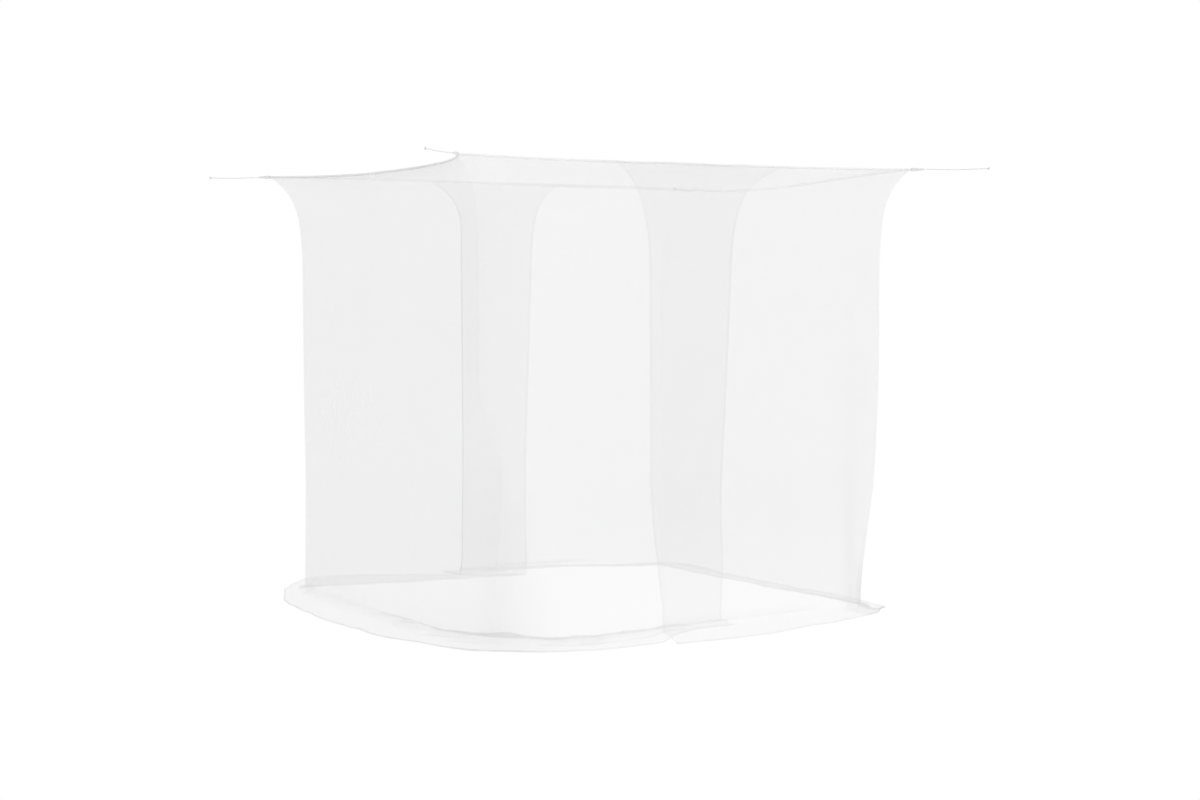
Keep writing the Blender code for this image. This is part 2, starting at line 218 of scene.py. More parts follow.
def cord_route(corner):
    tip, pull = tip_and_pull(corner)
    start = tip + pull * (TAB_START + TAB_LENGTH + PIECE_GAP)
    return [start + pull * (share * corner["cord"]) - Vector((0, 0, sag))
            for share, sag in ((0, 0), (0.12, 0.0006), (0.35, 0.0022), (0.65, 0.0024),
                               (0.88, 0.0008), (1, 0))]


def knot_route(corner):
    """An overhand knot past the cord's end: in, once round itself, and a short tail out."""
    end, pull = cord_route(corner)[-1], tip_and_pull(corner)[1]
    side, up = Vector((-pull.y, pull.x, 0)), Vector((0, 0, 1))
    middle = end + pull * (KNOT_LENGTH / 2 + PIECE_GAP)
    turns = [KNOT_START + KNOT_STEP * step for step in range(27)]
    return [middle + KNOT_LOOP * (pull * (math.cos(t) - 2 * math.cos(2 * t))
                                  + up * (math.sin(t) + 2 * math.sin(2 * t))
                                  - side * 1.3 * math.sin(3 * t)) for t in turns]


# %% Twisted cord, by Geometry Nodes
def geometry_graph(name, sizes):
    """A Geometry Nodes tree with a geometry input, these sizes as inputs and a material."""
    tree = bpy.data.node_groups.new(name, "GeometryNodeTree")
    face = tree.interface
    face.new_socket("Geometry", in_out="INPUT", socket_type="NodeSocketGeometry")
    for size in sizes:
        face.new_socket(size, in_out="INPUT", socket_type="NodeSocketFloat")
    face.new_socket("Material", in_out="INPUT", socket_type="NodeSocketMaterial")
    face.new_socket("Geometry", in_out="OUTPUT", socket_type="NodeSocketGeometry")
    graph = Graph(tree)
    return graph, graph.add("NodeGroupInput")


def finish_graph(graph, geometry, given):
    real = graph.add("GeometryNodeRealizeInstances", {}, {"Geometry": geometry})
    dressed = graph.add("GeometryNodeSetMaterial", {},
                        {"Geometry": real, "Material": given.out("Material")})
    graph.add("NodeGroupOutput", {}, {"Geometry": dressed})
    return graph.tree


def twisted_cord_tree():
    graph, given = geometry_graph("twisted_cord", ["Strand Radius", "Lay"])
    radius, lay = given.out("Strand Radius"), given.out("Lay")
    along = graph.add("GeometryNodeSplineParameter").out("Length")
    normal = graph.add("GeometryNodeInputNormal")
    tangent = graph.add("GeometryNodeInputTangent")
    across = graph.add("ShaderNodeVectorMath", {"operation": "CROSS_PRODUCT"},
                       {0: tangent, 1: normal})
    ring = graph.add("GeometryNodeCurvePrimitiveCircle", {"mode": "RADIUS"},
                     {"Resolution": 7, "Radius": radius})
    strands = []
    for strand in range(3):
        angle = along / lay * math.tau + strand * math.tau / 3
        parts = [graph.add("ShaderNodeVectorMath", {"operation": "SCALE"},
                           {0: vector, "Scale": angle.math(wave) * radius * 1.12})
                 for vector, wave in ((normal, "COSINE"), (across, "SINE"))]
        offset = graph.add("ShaderNodeVectorMath", {"operation": "ADD"}, {0: parts[0], 1: parts[1]})
        moved = graph.add("GeometryNodeSetPosition", {},
                          {"Geometry": given.out("Geometry"), "Offset": offset})
        strands.append(graph.add("GeometryNodeCurveToMesh", {},
                                 {"Curve": moved, "Profile Curve": ring, "Fill Caps": True}))
    joined = graph.add("GeometryNodeJoinGeometry", {}, {"Geometry": strands})
    return finish_graph(graph, joined, given)


def run_tree(name, source, tree, sizes, material):
    """Runs a Geometry Nodes tree on an object and gives its result as a plain mesh piece."""
    bpy.context.scene.collection.objects.link(source)
    modifier = source.modifiers.new("shape", "NODES")
    modifier.node_group = tree
    for socket in tree.interface.items_tree:
        if socket.in_out == "INPUT" and socket.name in sizes:
            modifier[socket.identifier] = sizes[socket.name]
        elif socket.in_out == "INPUT" and socket.name == "Material":
            modifier[socket.identifier] = material
    evaluated = source.evaluated_get(bpy.context.evaluated_depsgraph_get())
    mesh = bpy.data.meshes.new_from_object(evaluated)
    mesh.name = name
    mesh.shade_smooth()
    bpy.data.objects.remove(source)
    piece = bpy.data.objects.new(name, mesh)
    bpy.context.scene.collection.objects.link(piece)
    return piece


def line_object(name, lines, cyclic=False):
    """A curve object of one straight-sided line through each of these lists of points."""
    data = bpy.data.curves.new(name, "CURVE")
    data.dimensions = "3D"
    for points in lines:
        spline = data.splines.new("POLY")
        spline.points.add(len(points) - 1)
        places = np.array([tuple(point) for point in points])
        spline.points.foreach_set("co", np.column_stack([places, np.ones(len(places))]).ravel())
        spline.use_cyclic_u = cyclic
    return bpy.data.objects.new(name, data)


# %% [markdown]
# The cord's material is dull off-white thread. Its colour changes a little along the cord, as cheap
# cotton string does, and fine bumps stand for the spun fibres.


# %% Cord material and the four cords
def new_material(name):
    material = bpy.data.materials.new(name)
    material.use_nodes = True
    graph = Graph(material.node_tree)
    shader = material.node_tree.nodes["Principled BSDF"]
    return material, graph, shader


def feed(graph, shader, **inputs):
    """Links or sets the shader's inputs, named with _ for the spaces."""
    for name, value in inputs.items():
        socket = shader.inputs[name.replace("_", " ")]
        if isinstance(value, Socket):
            graph.tree.links.new(value.socket, socket)
        else:
            socket.default_value = value


def noise(graph, scale, detail=2.0, coordinates="Object"):
    where = graph.add("ShaderNodeTexCoord").out(coordinates)
    return graph.add("ShaderNodeTexNoise", {},
                     {"Vector": where, "Scale": scale, "Detail": detail})


def mixed(graph, factor, first, second):
    """A colour between two others."""
    return graph.add("ShaderNodeMix", {"data_type": "RGBA"},
                     {"Factor": factor, 6: (*first, 1), 7: (*second, 1)})


def bump(graph, height, strength, distance):
    return graph.add("ShaderNodeBump", {},
                     {"Height": height, "Strength": strength, "Distance": distance})


def cord_material():
    material, graph, shader = new_material("cord_thread")
    tone = noise(graph, 60.0)
    fibres = noise(graph, 2200.0, 3.0)
    feed(graph, shader,
         Base_Color=mixed(graph, tone, (0.84, 0.84, 0.83), (0.92, 0.92, 0.91)),
         Roughness=0.75 + fibres * 0.2,
         Sheen_Weight=0.2,
         Normal=bump(graph, fibres, 0.5, 0.0003))
    return material


cord_thread = cord_material()
cord_tree = twisted_cord_tree()
STRAND = {"Strand Radius": CORD_DIAMETER * 0.235, "Lay": 0.013}
KNOT_STRAND = {"Strand Radius": CORD_DIAMETER * 0.2, "Lay": 0.011}
for corner_name, corner in CORNERS.items():
    route = smooth_route(cord_route(corner), CORD_DIAMETER / 2)
    rope = run_tree(f"cord_{corner_name}", line_object("route", [route]), cord_tree,
                    STRAND, cord_thread)
    knot = run_tree(f"knot_{corner_name}", line_object("route", [knot_route(corner)]), cord_tree,
                    KNOT_STRAND, cord_thread)
    for piece, node in ((rope, f"hanging_cord_{corner_name}"), (knot, f"cord_knot_{corner_name}")):
        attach(piece, "root")
        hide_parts(node)
    print("cord", corner_name, corner["cord"], "m,", len(rope.data.polygons), "faces")

# %% [markdown]
# ## The net's form
# The walls start at the roof's edge, which is drawn out to four tips, and hang straight down from
# there. So the pull of a tip shows only near the top: it dies away along the edge and down the
# wall. Lower down a wall leans out to its foot, turns on to the floor, bunches up and ends in a
# hem. The two panels are measured by their place on the net's outline: 0 is the front-left corner,
# 1 the front-right, 2 the back-right and 3, or -1, the back-left.

# %% Tables of the form
FOLDS = (
    # waves  phase  depth
    (3.0, 0.4, 0.0060),
    (5.0, 2.1, 0.0050),
    (8.0, 4.0, 0.0022),
)
SIDE_PHASES = (0.0, 2.9, 1.3, 4.4)   # front, right, back, left

FREE_EDGES = {
    "inner_front": {"hangs": 0.250, "pull": 0.262, "decay": 0.085,
                    "lean": -0.105, "swing": 0.0, "trail": 0.01},
    "outer_front": {"hangs": -0.205, "pull": -0.145, "decay": 0.085,
                    "lean": 0.010, "swing": -0.060, "trail": -0.11},
    "outer_back": {"hangs": -0.143, "pull": -0.196, "decay": 0.075,
                   "lean": 0.010, "swing": 0.0, "trail": -0.02},
    "inner_back": {"hangs": 0.236, "pull": 0.155, "decay": 0.080,
                   "lean": -0.065, "swing": 0.0, "trail": 0.0},
}

LEFT_SKIRT = (
    # place   foot   hem    bunch
    (-1.585, -0.045, 0.050, 0.012),
    (-1.450, -0.040, 0.130, 0.014),
    (-1.350, -0.045, 0.240, 0.016),
    (-1.230, -0.060, 0.355, 0.020),
    (-1.110, -0.060, 0.385, 0.026),
    (-1.045, -0.030, 0.230, 0.032),
    (-1.000, 0.010, 0.105, 0.034),
    (-0.950, 0.010, 0.130, 0.032),
    (-0.890, 0.005, 0.180, 0.028),
    (-0.750, 0.015, 0.262, 0.018),
    (-0.575, 0.040, 0.295, 0.014),
    (-0.440, 0.040, 0.300, 0.018),
    (-0.265, 0.045, 0.288, 0.026),
    (-0.120, 0.060, 0.282, 0.030),
    (0.000, 0.100, 0.335, 0.030),
    (0.065, 0.180, 0.405, 0.030),
    (0.120, 0.235, 0.435, 0.028),
    (0.163, 0.235, 0.445, 0.024),
    (0.228, 0.210, 0.430, 0.022),
    (0.320, 0.160, 0.395, 0.018),
    (0.390, 0.135, 0.270, 0.014),
    (0.470, 0.115, 0.190, 0.016),
    (0.580, 0.070, 0.130, 0.022),
)
RIGHT_SKIRT = (
    # place   foot   hem    bunch
    (0.400, 0.190, 0.455, 0.004),
    (0.470, 0.185, 0.450, 0.005),
    (0.600, 0.155, 0.400, 0.005),
    (0.710, 0.120, 0.330, 0.006),
    (0.850, 0.070, 0.240, 0.008),
    (0.935, 0.020, 0.160, 0.016),
    (1.000, -0.035, 0.070, 0.034),
    (1.070, -0.050, 0.075, 0.034),
    (1.150, -0.055, 0.085, 0.030),
    (1.270, -0.055, 0.090, 0.026),
    (1.440, -0.045, 0.085, 0.022),
    (1.650, -0.035, 0.090, 0.018),
    (1.850, -0.045, 0.110, 0.018),
    (2.000, -0.030, 0.120, 0.022),
    (2.090, 0.015, 0.110, 0.016),
    (2.200, 0.035, 0.110, 0.012),
    (2.300, 0.055, 0.140, 0.010),
    (2.400, 0.055, 0.170, 0.008),
    (2.500, 0.035, 0.190, 0.006),
    (2.590, 0.015, 0.180, 0.005),
)
# Across the floor from foot to hem: share of the turn's height left, share of the bunch's height
FLOOR_PROFILE = (
    # out   turn  bunch
    (0.00, 1.00, 0.00),
    (0.05, 0.25, 0.30),
    (0.14, 0.00, 0.85),
    (0.22, 0.00, 1.00),
    (0.32, 0.00, 0.45),
    (0.42, 0.00, 0.12),
    (0.70, 0.00, 0.10),
    (1.00, 0.00, 0.00),
)
print("skirt rows:", len(LEFT_SKIRT), "left,", len(RIGHT_SKIRT), "right")


# %% Helpers that read the tables for whole arrays of points
def smooth(value):
    value = np.clip(value, 0.0, 1.0)
    return value * value * (3.0 - 2.0 * value)


def curve_through(table, place):
    """The table's columns at these places, on a smooth curve through its rows."""
    rows = np.array(table)
    at, values = rows[:, 0], rows[:, 1:]
    chord = np.diff(values, axis=0) / np.diff(at)[:, None]
    before, after = np.vstack([chord[:1], chord]), np.vstack([chord, chord[-1:]])
    slopes = np.where(before * after > 0, 2 * before * after / (before + after + 1e-12), 0.0)
    place = np.clip(place, at[0], at[-1])
    low = np.clip(np.searchsorted(at, place, side="right") - 1, 0, len(at) - 2)
    step = (at[low + 1] - at[low])[..., None]
    t = ((place - at[low]) / (at[low + 1] - at[low]))[..., None]
    rise = values[low + 1] - values[low]
    start, end = slopes[low] * step, slopes[low + 1] * step
    curve = values[low] + t * start + t * t * (3 * rise - 2 * start - end)
    curve = curve + t ** 3 * (start + end - 2 * rise)
    return np.moveaxis(curve, -1, 0)


def lattice_noise(x, y, seed):
    """Smooth noise from -1 to 1 over a plane, the same each time."""
    table = np.random.default_rng(seed).uniform(-1, 1, (256, 256))
    x, y = np.broadcast_arrays(x, y)
    column, row = np.floor(x).astype(int), np.floor(y).astype(int)
    across, down = smooth(x - column), smooth(y - row)
    corner = [[table[(column + i) % 256, (row + j) % 256] for j in (0, 1)] for i in (0, 1)]
    left = corner[0][0] + down * (corner[0][1] - corner[0][0])
    right = corner[1][0] + down * (corner[1][1] - corner[1][0])
    return left + across * (right - left)


def on_outline(place):
    """(across, along) on the square from -1 to 1, going round from the front-left corner."""
    side = np.floor(place % 4.0).astype(int)
    run = 2.0 * (place % 1.0) - 1.0
    across = np.choose(side, (run, np.ones_like(run), -run, -np.ones_like(run)))
    along = np.choose(side, (-np.ones_like(run), run, np.ones_like(run), -run))
    return across, along


def plan(across, along, pull):
    """Where points of the square lie in plan when the corners are pulled out by this share."""
    reach_x = np.abs(across) ** (TIP_REACH - 1) * np.abs(along) ** TIP_REACH
    reach_y = np.abs(along) ** (TIP_REACH - 1) * np.abs(across) ** TIP_REACH
    return across * (WALL_X + TIP_X * pull * reach_x), along * (WALL_Y + TIP_Y * pull * reach_y)


def outward(across, along):
    """The way out in plan: square to a side, and turning round the corners."""
    x = np.sign(across) * np.abs(across) ** TURN_SHARPNESS
    y = np.sign(along) * np.abs(along) ** TURN_SHARPNESS
    long = np.hypot(x, y)
    return x / long, y / long


def roof_height(across, along):
    bow_x, bow_y = 1.0 - across * across, 1.0 - along * along
    drop = (
        (SAG["front"] * (1 - along) + SAG["back"] * (1 + along)) / 2 * bow_x
        + (SAG["left"] * (1 - across) + SAG["right"] * (1 + across)) / 2 * bow_y
        + SAG["middle"] * bow_x * bow_y
    )
    return HEIGHT - drop


def broad_folds(place, share_down):
    """The wall's soft upright folds, which start below the top edge."""
    side = np.floor(place % 4.0).astype(int)
    run = 2.0 * (place % 1.0) - 1.0
    turn = np.choose(side, SIDE_PHASES)
    wave = sum(depth * np.sin(waves * run + phase + turn) for waves, phase, depth in FOLDS)
    return wave * smooth(share_down / 0.8) * (1.0 - np.abs(run) ** 6)


def foot_lean(height):
    return smooth(1.0 - height / LEAN_HEIGHT)


def free_edge(name, share_down):
    """How far a free edge is off the place where it hangs, along its wall."""
    edge = FREE_EDGES[name]
    pulled = edge["pull"] * np.exp(-share_down * HEIGHT / edge["decay"])
    swung = edge["swing"] * foot_lean(HEIGHT * (1.0 - share_down))
    return pulled + swung + edge["lean"] * share_down ** 1.5


def corner_shape(place, height, pull):
    """How far a wall's corner stands out below its tip, and its sideways drift."""
    nearest = np.round(place).astype(int)
    near = np.exp(-(((place - nearest) / CORNER_WIDTH) ** 2))
    wide = np.exp(-(((place - nearest) / (1.5 * CORNER_WIDTH)) ** 2))
    bulge, draw_in, gather = (
        np.choose(nearest % 4, [corner[key] for corner in CORNERS.values()])
        for key in ("bulge", "draw_in", "gather"))
    out = (bulge * (1 - pull) - draw_in * smooth((1.1 - height) / 1.1)) * near
    return out, gather * smooth((0.98 - height) / 0.36) * wide


def flap_offset(place, share_down):
    """How far the outer panel hangs outside the inner one where the two overlap."""
    front, back = smooth((0.95 - place) / 0.22), smooth((place - 2.05) / 0.22)
    spread = FLAP_GAP_TOP + (FLAP_GAP - FLAP_GAP_TOP) * smooth(share_down / 0.22)
    return spread * np.maximum(front, back)


print("form helpers ready")

# %% [markdown]
# ## A side panel
# Each side panel is one sheet, made as a grid: columns run along the wall and rows down it and then
# out over the floor. The rows are close together where the cloth turns and crumples. On top of the
# broad form come the fine things that make it read as netting: small puckers under the binding,
# soft upright folds that deepen towards the floor, a bunched ridge along the foot, creases over the
# floor, and a hem that is rolled over by a few millimetres. The hem is part of the sheet, so it is
# made by letting the sheet's last rows and columns curl round.

# %% Rows and the sheet's fine shape
WALL_SHARES = np.concatenate([np.linspace(0, 0.12, 20)[:-1], np.linspace(0.12, 1.0, 44)])
FLOOR_SHARES = np.concatenate([np.linspace(0, 0.45, 40)[1:], np.linspace(0.45, 1.0, 30)[1:]])
COLUMN_SPACING = 0.0095
HIGHEST_BUNCH = 0.027
HEADING_DECAY = 0.022            # height of the crowded strip under the binding
FRONT_SPREAD = 0.28              # fullness that the front loses towards its foot
PUCKER_DEPTH, WIDE_FOLD, NARROW_FOLD = 0.0016, 0.0042, 0.0052
EDGE_WOBBLE = 0.012              # how far a free edge wanders near the floor, of a half side
LOWEST = 0.0010                  # the cloth's middle line above the floor
SIDE_METRES = 1.9                # cloth along one side of the outline, for the pattern's scale


def ridged(value):
    """Turns smooth noise into narrow crests on broad troughs."""
    return (1.0 - np.abs(value)) ** 2


def fine_folds(along, share_down, seed):
    """Soft upright folds: wide ones that run the whole drop, and narrower ones low down."""
    wide = lattice_noise(along / 0.13, share_down * 1.3, seed)
    narrow = lattice_noise(along / 0.055, share_down * 2.2 + 9, seed + 1)
    low = smooth((share_down - 0.30) / 0.55)
    fading = lattice_noise(along / 0.30, share_down * 1.5 + 4, seed + 9) * 0.5 + 0.6
    puckers = lattice_noise(along / 0.034, share_down * 6, seed + 2) * np.exp(-share_down / 0.022)
    held_at_top = smooth(share_down / 0.006)
    return held_at_top * (PUCKER_DEPTH * puckers + WIDE_FOLD * (0.35 + low) * wide
                          + NARROW_FOLD * low * fading * narrow)


def floor_shape(along, out, reach, bunch, seed):
    """The crumpled skirt: its height, how far its folds are pushed out, and its fullness."""
    crease_height, crinkle_height, edge_height = 0.010, 0.003, 0.004
    turn, bunched = curve_through(FLOOR_PROFILE, out)
    away = out * reach
    uneven = 1.0 + 0.22 * lattice_noise(along / 0.12, 3.1, seed + 3)
    ruffled = 1.0 + 0.14 * lattice_noise(along / 0.060, away / 0.04, seed + 10)
    crease = ridged(lattice_noise(along / 0.15, away / 0.034 + 5, seed + 4)) ** 2
    crinkle = lattice_noise(along / 0.040, away / 0.022, seed + 5)
    inner = smooth(out / 0.10) * (1.0 - 0.75 * smooth((out - 0.40) / 0.4))
    rough = inner * np.clip(bunch / 0.030, 0.1, 1.3)
    lifted = np.clip(lattice_noise(along / 0.11, 7.7, seed + 6), 0, 1)
    edge_wave = smooth((out - 0.8) / 0.2) * lifted
    height = (turn * TURN_HEIGHT + bunched * bunch * uneven * ruffled
              + rough * (crease_height * crease + crinkle_height * crinkle)
              + edge_height * edge_wave)
    push = rough * (0.012 * lattice_noise(along / 0.10, away / 0.05, seed + 7)
                    + 0.007 * crinkle) + 0.006 * inner * lattice_noise(along / 0.21, 2.2, seed + 8)
    packed = smooth(bunched / 0.7) * np.clip(bunch / 0.022, 0.1, 1.5)
    patchy = np.clip(0.75 + 0.9 * lattice_noise(along / 0.09, away / 0.03, seed + 11), 0.25, 1.4)
    return np.maximum(height, 0.0), push, patchy * (0.42 * packed + 0.6 * rough * crease)


def rolled(panel, place, along, out):
    """Loose rolls of cloth that lie along the skirt: how high they stand and how full they are."""
    rise = full = np.zeros(np.broadcast_shapes(np.shape(place), np.shape(out)))
    for first, last, middle, width, extra, high in panel["rolls"]:
        ends = smooth((place - first) / 0.12) * smooth((last - place) / 0.08)
        middle = middle + 0.07 * lattice_noise(along / 0.26, 1.5, panel["seed"] + 12)
        wide = width * (1.0 + 0.35 * lattice_noise(along / 0.16, 6.5, panel["seed"] + 13))
        near = ends * np.exp(-np.abs((out - middle) / wide) ** 3)
        strong = 0.75 + 0.6 * lattice_noise(along / 0.10, 3.5, panel["seed"] + 14)
        rise, full = rise + high * near, full + extra * near * np.clip(strong, 0.2, 1.4)
    return rise, full


def placed_fullness(panel, place, height, share_down):
    """Extra fullness under the binding and in the gathers, less where the front spreads out."""
    low_corner, high_corner = panel["corners"]
    between = (place > low_corner) & (place < high_corner)
    fuller = panel["heading"] * np.exp(-share_down * HEIGHT / HEADING_DECAY) * between
    in_front = smooth(place / 0.06) * smooth((0.98 - place) / 0.06)
    fuller = fuller - FRONT_SPREAD * in_front * smooth((0.60 - height) / 0.50)
    for spot in panel["gathers"]:
        beside = np.exp(-((place - spot["place"]) / spot["width"]) ** 2)
        fuller = fuller + spot["extra"] * beside * smooth((spot["top"] - height) / spot["top"])
    return fuller


def panel_points(panel, place, share, share_down, share_out):
    """Points and extra fullness of a side panel, for columns (place, share to its free edge)
    and rows (share of the drop, share of the way out over the floor)."""
    drawn = place + 0 * share_down
    for name, towards in zip(panel["edges"], (-1, 1)):
        moved = free_edge(name, share_down) + FREE_EDGES[name]["trail"] * share_out
        moved = moved + EDGE_WOBBLE * smooth((share_down - 0.86) / 0.12) * lattice_noise(
            share_down * 26 + share_out * 5, 0.5, panel["seed"] + towards)
        turn = -1 if name.endswith("back") else 1
        drawn = drawn + turn * np.clip(share * towards, 0, 1) ** 3 * moved / 2
    across, along = on_outline(drawn)
    top = roof_height(across, along)
    height = top - share_down * (top - TURN_HEIGHT)
    pull = np.exp((height - top) / TIP_DECAY)
    foot, hem, bunch = curve_through(panel["skirt"], place)
    bulge, drift = corner_shape(drawn, height, pull)
    metres = drawn * SIDE_METRES
    low, high = panel["ridge"]
    bunch = bunch * (low + (high - low) * smooth((place - panel["ridge_from"]) / 0.15))
    bunch = np.minimum(bunch, HIGHEST_BUNCH)
    fine = fine_folds(metres, share_down, panel["seed"])
    reach = broad_folds(drawn, share_down) + foot * foot_lean(height) + bulge + fine
    if panel["outer"]:
        reach = reach + flap_offset(drawn, share_down)
    raised, push, packed = floor_shape(metres, share_out, hem - foot, bunch, panel["seed"])
    reach = reach + share_out * (hem - foot) + push
    roll_rise, roll_packed = rolled(panel, place, metres, share_out)
    raised, packed = raised + roll_rise, packed + roll_packed
    lift = FLAP_LIFT * flap_offset(drawn, 1.0) / FLAP_GAP if panel["outer"] else 0.0
    on_floor = LOWEST + raised + lift
    height = np.where(share_out > 0, on_floor, height)
    x, y = plan(across, along, pull)
    out_x, out_y = outward(across, along)
    points = np.stack([x + out_x * reach + drift, y + out_y * reach, height], axis=-1)
    slope = np.gradient(fine + broad_folds(drawn, share_down), axis=0) / COLUMN_SPACING
    fuller = packed + np.minimum(2.2 * slope ** 2, 0.5) * (1.0 - smooth(share_out / 0.15))
    return points, fuller + placed_fullness(panel, place, height, share_down)


print("rows:", len(WALL_SHARES) + len(FLOOR_SHARES))


# %% Columns, rolled edges and the mesh
def panel_columns(panel):
    """Places of the columns, evenly spaced along whichever is longer, the wall or the hem."""
    first, last = panel["places"]
    place = np.linspace(first, last, 4001)
    share = panel_share(panel, place)
    ends = [panel_points(panel, place[:, None], share[:, None], np.array([[down]]),
                         np.array([[out]]))[0][:, 0] for down, out in ((0.5, 0.0), (1.0, 1.0))]
    steps = np.max([np.linalg.norm(np.diff(line, axis=0), axis=1) for line in ends], axis=0)
    run = np.concatenate([[0], np.cumsum(np.minimum(steps, 6 * steps.mean()))])
    return np.interp(np.linspace(0, run[-1], round(run[-1] / COLUMN_SPACING)), run, place)


def panel_share(panel, place):
    """From -1 at the first free edge, to 0 between the corners, to 1 at the last free edge."""
    first, last = panel["places"]
    low, high = panel["corners"]
    towards_first = np.clip((low - place) / (low - first), 0, 1)
    return np.clip((place - high) / (last - high), 0, 1) - towards_first


def curl(radius, turns):
    """A rolled edge's section, as (ahead, over) steps from the cloth's edge."""
    angles = np.linspace(0, turns * math.tau, round(turns * 10) + 1)[1:]
    shrunk = radius * (1 - 0.10 * angles / math.tau)
    return np.stack([shrunk * np.sin(angles), radius - shrunk * np.cos(angles)], axis=-1)


def fold(width, gap):
    """A flat hem's section: round a tight bend and back over the cloth."""
    back = [(-share * width, gap) for share in (0.25, 0.5, 0.75, 1.0)]
    return np.concatenate([curl(gap / 2, 0.5), back])


def turned_edge(points, section):
    """Carries a grid's last rows on round a small section, turned to follow the edge."""
    last, before = points[:, -1], points[:, -3]
    ahead = last - before
    ahead /= np.linalg.norm(ahead, axis=-1, keepdims=True)
    side = np.gradient(last, axis=0)
    side /= np.linalg.norm(side, axis=-1, keepdims=True) + 1e-9
    over = np.cross(side, ahead)
    over /= np.linalg.norm(over, axis=-1, keepdims=True) + 1e-9
    over *= np.sign(over[:, 2].mean())
    extra = [last + a * ahead + b * over for a, b in section]
    return np.concatenate([points, np.stack(extra, axis=1)], axis=1)


def sheet_piece(name, points, columns_m, rows_m, fullness, material):
    """A mesh piece from a grid of points, with its own UV map in metres and its fullness."""
    columns, rows = points.shape[:2]
    index = np.arange(columns * rows).reshape(columns, rows)
    faces = np.stack([index[:-1, :-1], index[:-1, 1:], index[1:, 1:], index[1:, :-1]], axis=-1)
    faces = faces.reshape(-1, 4)
    mesh = bpy.data.meshes.new(name)
    mesh.vertices.add(columns * rows)
    mesh.vertices.foreach_set("co", (points.reshape(-1, 3) + np.array(CENTRE)).ravel())
    mesh.loops.add(faces.size)
    mesh.loops.foreach_set("vertex_index", faces.ravel())
    mesh.polygons.add(len(faces))
    mesh.polygons.foreach_set("loop_start", np.arange(len(faces)) * 4)
    mesh.update(calc_edges=True)
    uv = np.stack(np.broadcast_arrays(columns_m, rows_m), axis=-1).reshape(-1, 2)
    mesh.uv_layers.new(name="cloth").data.foreach_set("uv", uv[faces.ravel()].ravel())
    layers = mesh.attributes.new("fullness", "FLOAT", "POINT")
    layers.data.foreach_set("value", np.broadcast_to(fullness, (columns, rows)).ravel())
    mesh.materials.append(material)
    mesh.validate()
    mesh.shade_smooth()
    piece = bpy.data.objects.new(name, mesh)
    bpy.context.scene.collection.objects.link(piece)
    return piece


print("sheet helpers ready")

# %% [markdown]
# ## Netting
# Mosquito netting is knitted in fine hexagons, about a millimetre and a half across, and about a
# quarter of it is thread. The material draws the real holes from the cloth's own UV map, which is
# in metres: a hole is whatever is nearer than a radius to the middle of its cell, and the cells'
# middles are two square lattices put together. The netting is closer where the cloth is gathered,
# so the radius shrinks with the sheet's fullness.

# %% Netting material
MESH_CELL = 0.0016
OPEN_SHARE = 0.765               # of a flat single layer
THREAD_EDGE = 0.02               # how softly a thread ends, in squared cells
ROOT3 = math.sqrt(3.0)


def netting(name, tint):
    material, graph, shader = new_material(name)
    cloth = graph.add("ShaderNodeUVMap", {"uv_map": "cloth"})
    apart = graph.add("ShaderNodeSeparateXYZ", {}, {0: cloth})
    u, v = apart.out("X") / MESH_CELL, apart.out("Y") / MESH_CELL

    def squared_distance(shift):
        across = (u + shift).math("FRACT") - 0.5
        down = (v / ROOT3 + shift).math("FRACT") - 0.5
        return across * across + down * down * 3.0

    nearest = squared_distance(0.0).math("MINIMUM", squared_distance(0.5))
    fullness = graph.add("ShaderNodeAttribute", {"attribute_name": "fullness"}).out("Fac")
    hole = OPEN_SHARE ** fullness * (ROOT3 / 2 / math.pi)
    thread = ((nearest - hole) / THREAD_EDGE).clamp()
    crinkle = noise(graph, 140.0, 3.0)
    feed(graph, shader,
         Base_Color=mixed(graph, noise(graph, 2.5), tint, (0.87, 0.87, 0.87)),
         Roughness=0.7 + crinkle * 0.2,
         Sheen_Weight=0.1,
         Alpha=thread,
         Normal=bump(graph, crinkle, 0.35, 0.003))
    return material


roof_net = netting("roof_netting", (0.85, 0.85, 0.85))
# The left panel's netting is a slightly darker copy (0.84 against 0.85): painted shade for the left
# side of the net, which stands in shade.
left_net = netting("left_netting", (0.84, 0.84, 0.84))
right_net = netting("right_netting", (0.85, 0.85, 0.85))
print("netting materials ready")

# %% [markdown]
# ## The two side panels
# The left panel is the inner one where the two overlap in front and behind. Each is built as a
# grid, its hem is rolled, and then its two free edges are folded flat or rolled up. Fullness says
# how many layers' worth of thread the netting has at each point, which the material turns into a
# closer mesh. A gather is a place where the cloth is drawn together from the floor up to a height,
# and a roll is a loose fold that lies along the skirt.

# %% Build the side panels
HEM = curl(0.0034, 1.1)
FLAT_HEM = fold(0.009, 0.0012)
# full: fullness between the corners. heading: what is added to it under the binding. ridge: the
# bunch's height before and after the place ridge_from, as shares of the table's. sections: how the
# two free edges are turned
LEFT_PANEL = {
    "places": (-1 - (FREE_EDGES["inner_back"]["hangs"] + 1) / 2,
               (FREE_EDGES["inner_front"]["hangs"] + 1) / 2),
    "corners": (-1, 0), "edges": ("inner_back", "inner_front"), "skirt": LEFT_SKIRT,
    "outer": False, "seed": 11, "full": 1.45, "heading": 1.6,
    "ridge": (0.45, 0.85), "ridge_from": -1.03,
    "sections": (FLAT_HEM, FLAT_HEM),
    "gathers": (
        {"place": 0.03, "width": 0.05, "top": 0.75, "extra": 0.5},
    ),
    "rolls": (
        # from   to     out    width  extra  rise
        (-0.10, 0.53, 0.270, 0.100, 0.85, 0.009),
        (-0.86, -0.05, 0.120, 0.075, 0.70, 0.010),
        (0.02, 0.50, 0.560, 0.060, 0.55, 0.007),
    ),
}
